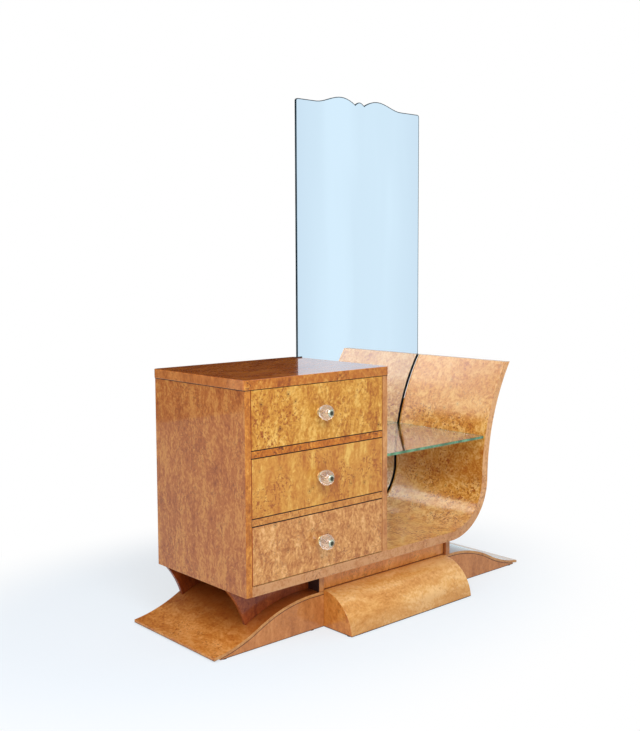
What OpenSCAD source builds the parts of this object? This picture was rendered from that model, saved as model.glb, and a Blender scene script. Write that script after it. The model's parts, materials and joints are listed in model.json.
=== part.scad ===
// Art deco dressing table: a three-drawer cabinet and a J-shaped curved board that holds an open bay
// with a glass shelf, under a tall frameless mirror. It all stands on a pedestal over a long ogee plinth.
// Millimetres. X runs along the front, Y to the back, Z up. Pieces are drawn from the cabinet's front
// left corner, and in_place() moves them so that the origin is under the middle of the whole.

/* [Cabinet] */
// Width across the two side panels
cabinet_w = 505; // [480:1:540]
// Depth of the cabinet and of the curved board
cabinet_d = 400; // [380:1:430]
// Thickness of a side panel
side_t = 19; // [16:0.5:22]
// Thickness of the top
top_t = 25; // [18:0.5:30]
// How far the top stands out all round
top_overhang = 3; // [1:0.5:6]
// Radius of the top's upright corners
top_corner_r = 8; // [4:0.5:14]
// Thickness of the plywood back
back_t = 6; // [4:0.5:9]
// Width of the rebate that holds the back in each side panel
back_rebate = 8; // [5:0.5:10]
// Height of each drawer's opening
opening_h = 153.8; // [135:0.2:170]
// Height of a rail between two drawers
rail_h = 19; // [16:0.5:24]
// Depth of a rail, front to back
rail_d = 60; // [45:1:80]
// Width of a drawer runner
runner_w = 26; // [22:1:34]
// Length of a drawer stop, along the front
stop_l = 40; // [20:1:60]
// Depth of a drawer stop
stop_d = 12; // [8:0.5:20]
// Height of a drawer stop
stop_h = 6; // [4:0.5:7]

/* [Drawers] */
// Dark gap round each drawer front
reveal = 1.6; // [1:0.1:2.5]
// Thickness of a drawer front
front_t = 20; // [18:0.5:24]
// Thickness of a drawer side
drawer_side_t = 12; // [10:0.5:14]
// Thickness of a drawer's back board
drawer_back_t = 12; // [9:0.5:14]
// Thickness of a drawer's plywood bottom
drawer_bottom_t = 5; // [4:0.5:7]
// Length of the drawer box behind its front
drawer_box_d = 350; // [300:1:350]
// Height of a drawer's sides
drawer_side_h = 146; // [110:1:146]
// How far into the sides and the front the bottom is housed
groove_depth = 6; // [4:0.5:7]
// Height of the bottom's groove above a side's lower edge
groove_rise = 10; // [8:0.5:16]
// How far a drawer's back stands in from the rear ends of its sides
drawer_back_inset = 18; // [8:1:40]
// How far a drawer's back stays below the top edges of its sides
drawer_back_drop = 4; // [2:0.5:12]
// How far the drawer box stands above its runners
drawer_lift = 0.3; // [0.2:0.1:0.8]
// Dovetails at each front corner
tails = 4; // [3:1:5]
// Length of a dovetail
tail_l = 14; // [10:0.5:15]
// Width of a dovetail at its root
tail_w = 19; // [14:0.5:21]
// How much wider a dovetail is at its end
tail_spread = 5; // [3:0.5:6]

/* [Knobs] */
// Diameter of the clear ball
ball_d = 41; // [34:1:50]
// Diameter of the collar between the ball and the drawer
collar_d = 14; // [12:0.5:18]
// Diameter of the flange against the drawer
flange_d = 20; // [16:0.5:26]
// Thickness of that flange
flange_t = 2; // [1.5:0.5:3]
// Length of the whole collar
collar_l = 4; // [3:0.5:10]
// Diameter of the bolt through the ball
bolt_d = 5; // [4:0.5:6]
// Radius of the bolt's domed head
bolt_head_r = 10; // [7:0.1:12]
// Height of that dome
bolt_head_h = 3.8; // [2:0.1:6]
// Thickness of the nut behind the drawer front
nut_t = 4; // [3:0.5:6]
// Width of the nut across its flats
nut_w = 9; // [8:0.5:12]

/* [Curved board and shelf] */
// Thickness of the bent board
board_t = 26; // [22:0.5:30]
// Clear width of the bay at its waist
bay_w = 424; // [380:1:470]
// Outer radius of the bend
bend_r = 170; // [120:1:200]
// Height of the board, from its underside to its tip
board_h = 526; // [480:1:560]
// How far the tip leans out past the waist
flare = 106; // [70:1:130]
// Width of the board's upper end
tip_t = 22; // [16:0.5:26]
// Height of the shelf's upper face above the bay's floor
shelf_rise = 276; // [180:1:340]
// Thickness of the glass shelf
shelf_t = 8; // [6:0.5:10]
// How far the shelf stands back from the front
shelf_setback = 3; // [0:0.5:20]
// Radius of the shelf's free front corner
shelf_corner_r = 5; // [2:0.5:20]
// Diameter of a shelf pin
pin_d = 6; // [5:0.5:8]
// How far a pin stands out under the shelf
pin_reach = 10; // [7:0.5:14]
// How deep a pin is set in the wood
pin_depth = 8; // [6:0.5:12]
// Distance of the pins from the shelf's front and back edges
pin_inset = 60; // [40:1:100]

/* [Mirror] */
// Thickness of the mirror glass
mirror_t = 6; // [4:0.5:8]
// Thickness of the black board behind the glass
backing_t = 27; // [20:0.5:32]
// Width of the glass above the cabinet and the bay
mirror_w = 545; // [500:1:555]
// How far the glass laps over the cabinet's top
mirror_lap = 17; // [6:0.5:24]
// Height of the mirror's shoulders above the floor
shoulder_z = 1488; // [1300:1:1600]
// Rise of the two humps above the shoulders
hump_rise = 22; // [10:0.5:30]
// Rise of the two notches beside the middle
notch_rise = 3.5; // [1:0.5:8]
// Rise of the little peak in the middle
peak_rise = 13; // [8:0.5:16]
// How far the crest's middle lies left of the glass's middle
crest_shift = 5; // [0:0.5:8]
// Distance of a notch from the crest's middle
notch_x = 20; // [15:1:30]
// Distance of a hump from the crest's middle
hump_x = 80; // [60:1:110]
// Distance from the crest's middle at which a hump has died out
hump_end_x = 190; // [160:1:220]
// Radius of the glass's upper corners
glass_corner_r = 8; // [4:0.5:14]
// Dark margin between the glass and the curved board
glass_margin = 6; // [4:0.5:12]
// How far the backing board stands in from the glass's free edges
backing_inset = 32; // [28:1:40]
// Width of an upright behind the mirror
upright_w = 46; // [36:1:60]
// Thickness of an upright
upright_t = 16; // [12:0.5:20]
// Height of the uprights' upper ends above the floor
upright_top_z = 1430; // [1200:5:1470]
// Height of the left upright's foot above the bay's floor
left_upright_rise = 20; // [5:1:60]
// How far below the cabinet's top slab the left upright narrows
left_shoulder_drop = 10; // [5:1:60]
// How far the right upright reaches below the shelf
right_upright_drop = 40; // [20:1:80]
// How far the right upright laps the curved board's inner face at its foot
right_upright_lap = 6; // [4:0.5:12]
// Distance of a screw from the edge of its upright
screw_inset = 11; // [8:0.5:14]
// Diameter of a wood screw
screw_d = 4; // [3:0.5:5]
// Length of a wood screw
screw_l = 27; // [22:0.5:29]

/* [Pedestal] */
// Height of the pedestal between the plinth and the cabinet
pedestal_h = 57; // [45:1:75]
// Distance from the cabinet's left side to the pedestal
pedestal_x = 284; // [270:1:300]
// Length of the pedestal along the front
pedestal_l = 544; // [500:1:548]
// Thickness of the pedestal's panels
panel_t = 18; // [15:0.5:22]
// How far the front and back panels stand in behind the cross panels' edges
panel_recess = 10; // [5:0.5:20]
// Thickness of a fin
fin_t = 12; // [9:0.5:16]
// Distance of the front fin behind the plinth's front
fin_setback = 45; // [30:1:70]
// Clear distance between the two fins
fin_spacing = 289; // [240:1:300]
// How much further in the back fin stands
back_fin_shift = 9; // [0:0.5:20]
// Distance of a fin's upper corner from the cabinet's left side
fin_top_x = 3; // [0:0.5:15]
// Distance of a fin's toe from the cabinet's left side
fin_toe_x = 63; // [45:1:90]
// How far a fin's edge is hollowed
fin_hollow = 7; // [4:0.5:10]

/* [Plinth] */
// Length of the plinth
plinth_l = 1240; // [1200:2:1300]
// Distance from the cabinet's left side to the middle of the plinth
plinth_x = 548; // [540:1:556]
// Distance from the cabinet's front back to the plinth's front
plinth_setback = 42; // [30:1:60]
// Depth of the plinth
plinth_d = 374; // [365:1:400]
// Height of the plinth's crest
crest_h = 101; // [90:1:115]
// Length of the flat crest
crest_l = 576; // [560:2:600]
// How far past the plinth's end its hollow would reach its lowest point
ogee_overrun = 46; // [0:1:80]
// Height of the ogee's lowest point, which lies just past the tips
ogee_low = 9; // [8.5:0.5:11]
// Thickness of the bent skin
skin_t = 8; // [5:0.5:9]
// Thickness of the plinth's rails and ribs
plinth_rail_t = 18; // [15:0.5:22]
// How far the rails stop short of the tips
toe_setback = 20; // [16:1:40]
// Width of a toe strip under each tip
toe_l = 60; // [40:1:90]
// Distance of the outer ribs from the ends of the crest
outer_rib_x = 160; // [120:1:190]

/* [Half-round block] */
// Length of the block
block_l = 496; // [440:2:520]
// Distance from the plinth's middle to the block's middle
block_shift = -1; // [-10:0.5:10]
// Radius of the block's rounded face
block_r = 111.5; // [105:0.5:118]
// How far the centre of that face lies below the floor
block_drop = 7; // [5:0.5:15]
// Thickness of the bent cover
cover_t = 8; // [6:0.5:12]
// Thickness of a cheek
cheek_t = 18; // [15:0.5:22]
// Height of the glides under the plinth and the block
glide_t = 2; // [1.5:0.5:4]
// Diameter of a glide
glide_d = 16; // [12:0.5:18]

/* [Hidden] */

// Finishes
burr = "#c98a45";
side_veneer = "#b9733f";
top_veneer = "#7d4421";
pale_burr = "#d69a52";
mahogany = "#6e3520";
drawer_wood = "#c9a06a";
plywood = "#b98f5e";
chrome = "#d5d8da";
clear = "#dfe9ec";
glass_green = "#9fd0c0";
silvered = "#bcdcea";
blackened = "#1d1a19";

// Working clearances
glue_line = 0.1;
// The plinth's swelling stands this much proud where it meets the hollow, so that the arcs cross
arc_lap = 0.01;
bolt_clearance = 0.2;
bolt_end = 2;
stop_gap = 0.3;
tail_fit = 0.1;
groove_fit = 0.2;
glass_gap = 0.7;
tip_clearance = 2;
panel_front_gap = 1;
panel_back_gap = 2;
slip = 1;
head_seat = 0.4;
skim = 0.01;
overcut = 5;
big = 2000;
curve_fn = 240;
round_fn = 48;
knob_fn = 64;

// Levels
underside_z = crest_h + pedestal_h;
floor_z = underside_z + board_t;
top_under_z = floor_z + 3 * opening_h + 2 * rail_h;
level_step = opening_h + rail_h;
function opening_z(level) = floor_z + level * level_step;

// The opening between the side panels
inner_left = side_t;
inner_right = cabinet_w - side_t;
inner_w = inner_right - inner_left;
drawer_middle_x = (inner_left + inner_right) / 2;

// The curved board: a flat floor, a quarter bend, and a face that leans out on a large radius
waist_x = cabinet_w + bay_w + board_t;
waist_in_x = cabinet_w + bay_w;
bend_x = waist_x - bend_r;
bend_in_r = bend_r - board_t;
waist_z = underside_z + bend_r;
tip_z = underside_z + board_h;
tip_rise = tip_z - waist_z;
flare_in = flare + board_t - tip_t;
// Radius of an arc by its rise and run, to a hundredth of a millimetre so that arcs meet cleanly
function arc_radius(rise, run) = round(50 * (rise * rise + run * run) / run) / 100;
outer_r = arc_radius(tip_rise, flare);
inner_r = arc_radius(tip_rise, flare_in);
function lean(r, z) = r - sqrt(r * r - pow(z - waist_z, 2));
function inner_x(z) = waist_in_x + lean(inner_r, z);
function outer_x(z) = waist_x + lean(outer_r, z);

// Shelf
shelf_z = floor_z + shelf_rise;
mirror_y = cabinet_d - backing_t - mirror_t;
shelf_back_y = mirror_y - slip;
shelf_right_x = inner_x(shelf_z - shelf_t) - slip;
pin_z = shelf_z - shelf_t - pin_d / 2;
pin_rows = [shelf_setback + pin_inset, shelf_back_y - pin_inset];

// Mirror
bay_left_x = cabinet_w + top_overhang + glass_gap;
mirror_left_x = bay_left_x - mirror_lap;
mirror_right_x = mirror_left_x + mirror_w;
mirror_x = (mirror_left_x + mirror_right_x) / 2;
step_z = tip_z + tip_clearance;
crest_x = mirror_x - crest_shift;
lap_z = top_under_z + top_t + glass_gap;
board_left_x = mirror_left_x + backing_inset;
upright_y = cabinet_d + upright_t;
left_upright_x = board_left_x + upright_t;
right_upright_z = shelf_z - right_upright_drop;
right_upright_x = inner_x(right_upright_z) - right_upright_lap;
left_upright_z = floor_z + left_upright_rise;
left_shoulder_z = top_under_z - left_shoulder_drop;

// Plinth: each end is two equal arcs, tangent at their middle
plinth_front_y = plinth_setback;
plinth_back_y = plinth_setback + plinth_d;
half_crest = crest_l / 2;
half_plinth = plinth_l / 2;
ogee_run = half_plinth - half_crest + ogee_overrun;
ogee_drop = crest_h - ogee_low;
ogee_r = (ogee_run * ogee_run + ogee_drop * ogee_drop) / (4 * ogee_drop);
crest_centre = [half_crest, crest_h - ogee_r];
hollow_centre = [half_crest + ogee_run, ogee_low + ogee_r];
rail_reach = half_plinth - toe_setback;

// Height of the plinth's upper face at x, where x lies on the swelling or the hollow
function ogee_swell_z(d) = crest_centre[1] + sqrt(ogee_r * ogee_r - pow(d - crest_centre[0], 2));
function ogee_hollow_z(d) = hollow_centre[1] - sqrt(ogee_r * ogee_r - pow(d - hollow_centre[0], 2));
function plinth_top_z(x) = let (d = abs(x - plinth_x))
    d < half_crest ? crest_h : d < half_crest + ogee_run / 2 ? ogee_swell_z(d) : ogee_hollow_z(d);

// Pedestal
pedestal_right_x = pedestal_x + pedestal_l;
pedestal_y = plinth_front_y + panel_front_gap;
pedestal_back_y = cabinet_d - panel_back_gap;
front_fin_y = plinth_front_y + fin_setback;
back_fin_y = front_fin_y + fin_t + fin_spacing;

// Block
block_front_y = plinth_front_y - sqrt(block_r * block_r - pow(block_drop + glide_t, 2));
block_left_x = plinth_x + block_shift - block_l / 2;
block_right_x = block_left_x + block_l;

// The whole stands centred over the origin
centre_y = (block_front_y + max(plinth_back_y, upright_y)) / 2;

module in_place() {
    translate([-plinth_x, -centre_y, 0]) children();
}

// Sets an outline drawn in x and z between two depths
module across(y0, y1) {
    translate([0, y1, 0]) rotate([90, 0, 0]) linear_extrude(height = y1 - y0) children();
}

// Sets an outline drawn in y and z between two places along the front
module along(x0, x1) {
    translate([x0, 0, 0]) rotate([90, 0, 90]) linear_extrude(height = x1 - x0) children();
}

module block_between(low, high) {
    translate(low) cube(high - low);
}

module rectangle(low, high) {
    translate(low) square(high - low);
}

// A rod along y from y0 to y1
module rod(x, y0, y1, z, d) {
    translate([x, y1, z]) rotate([90, 0, 0]) cylinder(h = y1 - y0, d = d, $fn = round_fn);
}

// Cabinet

module cabinet_top() {
    o = top_overhang;
    r = top_corner_r;
    low = [-o, -o];
    high = [cabinet_w + o, cabinet_d + o];
    in_place() color(top_veneer) union() {
        block_between([low[0] + r, low[1], top_under_z], [high[0] - r, high[1], top_under_z + top_t]);
        block_between([low[0], low[1] + r, top_under_z], [high[0], high[1] - r, top_under_z + top_t]);
        for (x = [low[0] + r, high[0] - r], y = [low[1] + r, high[1] - r])
            translate([x, y, top_under_z]) cylinder(h = top_t, r = r, $fn = round_fn);
    }
}

// The back's rebate, at the rear inner edge of a side panel
module back_rebate_cut() {
    block_between([inner_left - back_rebate, cabinet_d - back_t, floor_z],
                  [inner_right + back_rebate, cabinet_d + 1, top_under_z + 1]);
}

module cabinet_left_side() {
    in_place() color(side_veneer) difference() {
        block_between([0, 0, underside_z], [side_t, cabinet_d, top_under_z]);
        back_rebate_cut();
    }
}

module cabinet_right_side() {
    in_place() color(side_veneer) difference() {
        block_between([inner_right, 0, floor_z], [cabinet_w, cabinet_d, top_under_z]);
        back_rebate_cut();
        shelf_pin_rods(bolt_clearance);
        screw_set(bolt_clearance);
    }
}

module cabinet_back() {
    in_place() color(plywood)
        block_between([inner_left - back_rebate + glue_line, cabinet_d - back_t, floor_z],
                      [inner_right + back_rebate - glue_line, cabinet_d, top_under_z]);
}

module drawer_rail(level) {
    z = opening_z(level) - rail_h;
    in_place() color(burr) block_between([inner_left, 0, z], [inner_right, rail_d, z + rail_h]);
}

module drawer_runners() {
    in_place() color(drawer_wood)
        for (level = [1, 2], x = [inner_left, inner_right - runner_w])
            block_between([x, rail_d, opening_z(level) - rail_h],
                          [x + runner_w, cabinet_d - back_t, opening_z(level)]);
}

// Two small blocks behind each drawer front, which it meets when it is shut
module drawer_stops() {
    in_place() color(drawer_wood)
        for (level = [0:2], x = [inner_left + inner_w / 4, inner_right - inner_w / 4])
            translate([x - stop_l / 2, front_t + stop_gap, opening_z(level)]) cube([stop_l, stop_d, stop_h]);
}

// Drawers: level 0 is the lowest

// A dovetail seen from the side, drawn in y and z
module upright_tail(z, fit) {
    w = tail_w / 2 + fit;
    e = w + tail_spread / 2;
    tip = front_t - tail_l - fit;
    polygon([[front_t, z - w], [front_t, z + w], [tip, z + e], [tip, z - e]]);
}

module tail_row(level, x0, x1, fit) {
    z0 = opening_z(level) + reveal;
    pitch = drawer_side_h / tails;
    along(x0, x1) for (i = [0:tails - 1]) upright_tail(z0 + pitch * (i + 0.5), fit);
}

module bottom_groove(level, fit) {
    z = opening_z(level) + drawer_lift + groove_rise;
    x = inner_left + reveal + drawer_side_t - groove_depth;
    block_between([x - fit, front_t - groove_depth - fit, z - fit],
                  [inner_left + inner_right - x + fit, front_t + drawer_box_d + fit, z + drawer_bottom_t + fit]);
}

module drawer_back_board(level, fit) {
    z0 = opening_z(level) + drawer_lift + groove_rise + drawer_bottom_t + groove_fit;
    z1 = opening_z(level) + drawer_lift + drawer_side_h - drawer_back_drop;
    x = inner_left + reveal + drawer_side_t - groove_depth / 2;
    y = front_t + drawer_box_d - drawer_back_inset - drawer_back_t;
    block_between([x - fit, y - fit, z0], [inner_left + inner_right - x + fit, y + drawer_back_t + fit, z1 + fit]);
}

module drawer_front(level) {
    z0 = opening_z(level) + reveal;
    z1 = opening_z(level) + opening_h - reveal;
    left = inner_left + reveal;
    right = inner_right - reveal;
    in_place() color(burr) difference() {
        block_between([left, 0, z0], [right, front_t, z1]);
        tail_row(level, left - 1, left + drawer_side_t + tail_fit, tail_fit);
        tail_row(level, right - drawer_side_t - tail_fit, right + 1, tail_fit);
        bottom_groove(level, groove_fit);
        rod(drawer_middle_x, -1, front_t + 1, knob_z(level), 2 * ball_hole_r);
    }
}

module drawer_side(level, left) {
    x = left ? inner_left + reveal : inner_right - reveal - drawer_side_t;
    z = opening_z(level) + drawer_lift;
    in_place() color(drawer_wood) difference() {
        union() {
            block_between([x, front_t, z], [x + drawer_side_t, front_t + drawer_box_d, z + drawer_side_h]);
            tail_row(level, x, x + drawer_side_t, 0);
        }
        bottom_groove(level, groove_fit);
        drawer_back_board(level, groove_fit);
    }
}

module drawer_back(level) {
    in_place() color(drawer_wood) drawer_back_board(level, 0);
}

module drawer_bottom(level) {
    in_place() color(plywood) bottom_groove(level, 0);
}

// Knobs

function knob_z(level) = opening_z(level) + opening_h / 2;
ball_r = ball_d / 2;
ball_hole_r = bolt_d / 2 + bolt_clearance;
function flat_at(r) = sqrt(ball_r * ball_r - r * r);
ball_back = flat_at(collar_d / 2);
ball_front = flat_at(bolt_head_r + head_seat);
ball_y = -collar_l - ball_back;
head_y = ball_y - ball_front;
nut_y = front_t + nut_t;

// Turns an outline about a knob's axis: x is the radius, and y points to the front
module turned(y, level) {
    translate([drawer_middle_x, y, knob_z(level)]) rotate([90, 0, 0]) rotate_extrude($fn = knob_fn) children();
}

module knob_ball(level) {
    in_place() color(clear) turned(ball_y, level) intersection() {
        circle(r = ball_r, $fn = knob_fn);
        rectangle([ball_hole_r, -ball_back], [ball_r, ball_front]);
    }
}

module knob_collar(level) {
    z = knob_z(level);
    in_place() color(chrome) difference() {
        union() {
            rod(drawer_middle_x, -flange_t, 0, z, flange_d);
            rod(drawer_middle_x, -collar_l, 0, z, collar_d);
        }
        rod(drawer_middle_x, -collar_l - 1, 1, z, 2 * ball_hole_r);
    }
}

module knob_bolt(level) {
    length = nut_y + bolt_end - head_y;
    dome_r = arc_radius(bolt_head_r, bolt_head_h);
    in_place() color(chrome) turned(head_y, level) {
        rectangle([0, -length], [bolt_d / 2, 0]);
        intersection() {
            translate([0, bolt_head_h - dome_r]) circle(r = dome_r, $fn = curve_fn);
            rectangle([0, 0], [bolt_head_r, bolt_head_h + overcut]);
        }
    }
}

module knob_nut(level) {
    z = knob_z(level);
    across_corners = nut_w / cos(30);
    in_place() color(chrome) difference() {
        translate([drawer_middle_x, nut_y, z]) rotate([90, 0, 0]) cylinder(h = nut_t, d = across_corners, $fn = 6);
        rod(drawer_middle_x, front_t - 1, nut_y + 1, z, bolt_d + bolt_clearance);
    }
}

// Curved board and shelf

// The board's outline in x and z
module curved_outline() {
    rectangle([inner_left, underside_z], [bend_x, floor_z]);
    intersection() {
        translate([bend_x, waist_z]) difference() {
            circle(r = bend_r, $fn = curve_fn);
            circle(r = bend_in_r, $fn = curve_fn);
        }
        rectangle([bend_x, underside_z - 1], [waist_x + 1, waist_z]);
    }
    intersection() {
        difference() {
            translate([waist_in_x + inner_r, waist_z]) circle(r = inner_r, $fn = 2 * curve_fn);
            translate([waist_x + outer_r, waist_z]) circle(r = outer_r, $fn = 2 * curve_fn);
        }
        rectangle([waist_in_x - 1, waist_z], [waist_x + flare + 1, tip_z]);
    }
}

module curved_board() {
    in_place() color(pale_burr) difference() {
        across(0, cabinet_d) curved_outline();
        shelf_pin_rods(bolt_clearance);
        screw_set(bolt_clearance);
    }
}

// A pin along x at each corner of the shelf, half of it in the wood
module shelf_pin_rods(clearance) {
    r = pin_d / 2 + clearance;
    for (y = pin_rows) {
        translate([cabinet_w - pin_depth - clearance, y, pin_z])
            rotate([0, 90, 0]) cylinder(h = pin_depth + pin_reach + clearance, r = r, $fn = round_fn);
        translate([inner_x(pin_z) - pin_reach, y, pin_z])
            rotate([0, 90, 0]) cylinder(h = pin_depth + pin_reach + clearance, r = r, $fn = round_fn);
    }
}

module shelf_pins() {
    in_place() color(chrome) shelf_pin_rods(0);
}

module glass_shelf() {
    r = shelf_corner_r;
    left = cabinet_w + slip / 2;
    low = [left, shelf_setback, shelf_z - shelf_t];
    high = [shelf_right_x, shelf_back_y, shelf_z];
    in_place() color(glass_green) union() {
        block_between(low, [high[0] - r, high[1], high[2]]);
        block_between([low[0], low[1] + r, low[2]], high);
        translate([high[0] - r, low[1] + r, low[2]]) cylinder(h = shelf_t, r = r, $fn = round_fn);
    }
}

// Mirror

// Inside of the bay at a distance from the curved board, drawn in x and z up to its tip
module bay_outline(left, margin) {
    rectangle([left, floor_z + margin], [bend_x, step_z]);
    intersection() {
        translate([bend_x, waist_z]) circle(r = bend_in_r - margin, $fn = curve_fn);
        rectangle([bend_x, floor_z], [waist_x, waist_z]);
    }
    difference() {
        rectangle([bend_x, waist_z], [waist_x + flare, step_z]);
        translate([waist_in_x + inner_r, waist_z]) circle(r = inner_r + margin, $fn = 2 * curve_fn);
    }
}

// Height of the glass's upper edge above its shoulders at a distance from the middle
function peak_curve(d) = notch_rise + (peak_rise - notch_rise) * cos(90 * d / notch_x);
function inner_hump_curve(d) =
    notch_rise + (hump_rise - notch_rise) * pow(sin(90 * (d - notch_x) / (hump_x - notch_x)), 0.85);
function outer_hump_curve(d) = hump_rise * (1 + cos(180 * (d - hump_x) / (hump_end_x - hump_x))) / 2;
function crest_curve(d) = d < notch_x ? peak_curve(d) : d < hump_x ? inner_hump_curve(d) : outer_hump_curve(d);

// Where the upper edge is sampled, from the middle out
crest_steps = concat(
    [for (i = [0:4]) notch_x * i / 5],
    [for (i = [0:9]) notch_x + (hump_x - notch_x) * pow(i / 10, 1.5)],
    [for (i = [0:12]) hump_x + (hump_end_x - hump_x) * i / 12]
);

// The upper edge with its shoulders, down to a base that the rest of the glass overlaps
module crest_outline() {
    left = [for (d = crest_steps) [crest_x - d, shoulder_z + crest_curve(d)]];
    right = [for (i = [len(crest_steps) - 1:-1:1])
        [crest_x + crest_steps[i], shoulder_z + crest_curve(crest_steps[i])]];
    start = mirror_left_x + glass_corner_r;
    end = mirror_right_x - glass_corner_r;
    base = shoulder_z - 2 * glass_corner_r;
    polygon(concat([[start, base], [end, base], [end, shoulder_z]], right, left, [[start, shoulder_z]]));
}

module glass_outline() {
    r = glass_corner_r;
    bay_outline(bay_left_x, glass_margin);
    rectangle([bay_left_x, step_z], [mirror_right_x, shoulder_z - r]);
    rectangle([mirror_left_x, lap_z], [mirror_right_x, shoulder_z - r]);
    for (x = [mirror_left_x + r, mirror_right_x - r])
        translate([x, shoulder_z - r]) circle(r = r, $fn = round_fn);
    crest_outline();
}

module mirror_glass() {
    in_place() color(silvered) across(mirror_y, mirror_y + mirror_t) glass_outline();
}

module mirror_backing_board() {
    in_place() color(blackened) difference() {
        across(mirror_y + mirror_t, cabinet_d) {
            rectangle([cabinet_w, floor_z + glue_line], [board_left_x, top_under_z - glue_line]);
            bay_outline(board_left_x, glue_line);
            rectangle([board_left_x, step_z], [mirror_right_x - backing_inset, shoulder_z - backing_inset]);
        }
        screw_set(bolt_clearance);
    }
}

// The left upright widens below the cabinet's top, where it is screwed to the cabinet's side
module mirror_left_upright() {
    in_place() color(blackened) difference() {
        across(cabinet_d, upright_y) {
            rectangle([inner_right, left_upright_z], [left_upright_x + upright_w, left_shoulder_z]);
            rectangle([left_upright_x, left_shoulder_z], [left_upright_x + upright_w, upright_top_z]);
        }
        screw_set(bolt_clearance);
    }
}

module mirror_right_upright() {
    in_place() color(blackened) difference() {
        block_between([right_upright_x, cabinet_d, right_upright_z],
                      [right_upright_x + upright_w, upright_y, upright_top_z]);
        screw_set(bolt_clearance);
    }
}

module mirror_cross_rail() {
    in_place() color(blackened) difference() {
        block_between([left_upright_x + upright_w, cabinet_d, upright_top_z - upright_w],
                      [right_upright_x, upright_y, upright_top_z]);
        screw_set(bolt_clearance);
    }
}

// Where the wood screws enter from behind
side_screw_rises = [40, 220, 400];
board_screw_rises = [30, 75];
upper_screw_end = 70;
rail_screw_spread = 90;
upper_zs = [step_z + upper_screw_end, (step_z + upright_top_z) / 2, upright_top_z - upper_screw_end];
function board_middle_x(z) = (inner_x(z) + outer_x(z)) / 2;
screw_places = concat(
    [for (rise = side_screw_rises) [(inner_right + back_rebate + cabinet_w) / 2, left_upright_z + rise]],
    [for (z = upper_zs) [left_upright_x + upright_w - screw_inset, z]],
    [for (z = upper_zs) [right_upright_x + screw_inset, z]],
    [for (z = [for (rise = board_screw_rises) right_upright_z + rise]) [board_middle_x(z), z]],
    [for (side = [-1, 1]) [mirror_x + side * rail_screw_spread, upright_top_z - upright_w / 2]]
);

// Countersunk screws along y, or their holes
module screw_set(clearance) {
    r = screw_d / 2 + clearance;
    for (p = screw_places) {
        rod(p[0], upright_y - screw_l - clearance, upright_y, p[1], 2 * r);
        translate([p[0], upright_y + skim, p[1]]) rotate([90, 0, 0])
            cylinder(h = r, r1 = 2 * r, r2 = r, $fn = round_fn);
    }
}

module upright_screws() {
    in_place() color(chrome) intersection() {
        screw_set(0);
        block_between([0, 0, 0], [big, upright_y, big]);
    }
}

// Plinth

// Outline under the plinth's upper face, lowered by a thickness, out to a reach from the middle
module ogee_outline(drop, reach) {
    // The two arcs meet on the line between their centres
    meet = crest_centre + (hollow_centre - crest_centre) * (ogee_r - drop) / (2 * ogee_r);
    translate([plinth_x, 0]) {
        rectangle([-half_crest, glide_t], [half_crest, crest_h - drop]);
        for (side = [0, 1]) mirror([side, 0]) {
            intersection() {
                translate(crest_centre) circle(r = ogee_r - drop + arc_lap, $fn = 2 * curve_fn);
                rectangle([half_crest, glide_t], [meet[0] + overcut, crest_h - drop]);
            }
            difference() {
                rectangle([meet[0], glide_t], [reach, meet[1]]);
                translate(hollow_centre) circle(r = ogee_r + drop, $fn = 2 * curve_fn);
            }
        }
    }
}

module plinth_skin() {
    in_place() color(burr) across(plinth_front_y, plinth_back_y) difference() {
        ogee_outline(0, half_plinth);
        ogee_outline(skin_t, half_plinth + 1);
    }
}

module under_skin(y0, y1, x0, x1) {
    across(y0, y1) intersection() {
        ogee_outline(skin_t + glue_line, rail_reach);
        rectangle([x0, 0], [x1, crest_h]);
    }
}

module plinth_front_rail() {
    in_place() color(side_veneer)
        under_skin(plinth_front_y, plinth_front_y + plinth_rail_t, -big, big);
}

module plinth_back_rail() {
    in_place() color(side_veneer)
        under_skin(plinth_back_y - plinth_rail_t, plinth_back_y, -big, big);
}

module plinth_ribs() {
    outer = half_crest + outer_rib_x;
    t = plinth_rail_t;
    places = [plinth_x - outer, pedestal_x, pedestal_right_x - t, plinth_x + outer - t];
    in_place() color(plywood) for (x = places)
        under_skin(plinth_front_y + t, plinth_back_y - t, x, x + t);
}

module plinth_toes() {
    t = plinth_rail_t;
    in_place() color(plywood) for (x = [plinth_x - rail_reach, plinth_x + rail_reach - toe_l])
        under_skin(plinth_front_y + t, plinth_back_y - t, x, x + toe_l);
}

// Pedestal

module under_board(x0, x1) {
    difference() {
        rectangle([x0, crest_h], [x1, waist_z]);
        rectangle([-big, underside_z], [bend_x, big]);
        translate([bend_x, waist_z]) circle(r = bend_r + glue_line, $fn = curve_fn);
    }
}

module pedestal_left_panel() {
    in_place() color(side_veneer) across(pedestal_y, pedestal_back_y)
        rectangle([pedestal_x, crest_h], [pedestal_x + panel_t, underside_z]);
}

module pedestal_right_panel() {
    in_place() color(side_veneer) across(pedestal_y, pedestal_back_y)
        under_board(pedestal_right_x - panel_t, pedestal_right_x);
}

module pedestal_long_panel(y) {
    in_place() color(side_veneer) across(y, y + panel_t)
        under_board(pedestal_x + panel_t, pedestal_right_x - panel_t);
}

// Fins: the free edge is hollowed on an arc from the cabinet's corner down to the toe
module fin(y, shift) {
    top = [fin_top_x + shift, underside_z];
    toe = [fin_toe_x + shift, plinth_top_z(fin_toe_x + shift)];
    chord = toe - top;
    edge_r = arc_radius(norm(chord) / 2, fin_hollow);
    outward = [chord[1], -chord[0]] / norm(chord);
    in_place() color(mahogany) across(y, y + fin_t) difference() {
        rectangle([top[0] - overcut, toe[1] - overcut], [pedestal_x, underside_z]);
        ogee_outline(-glue_line, half_plinth);
        translate((top + toe) / 2 + outward * (edge_r - fin_hollow)) circle(r = edge_r, $fn = curve_fn);
    }
}

// Half-round block

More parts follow.
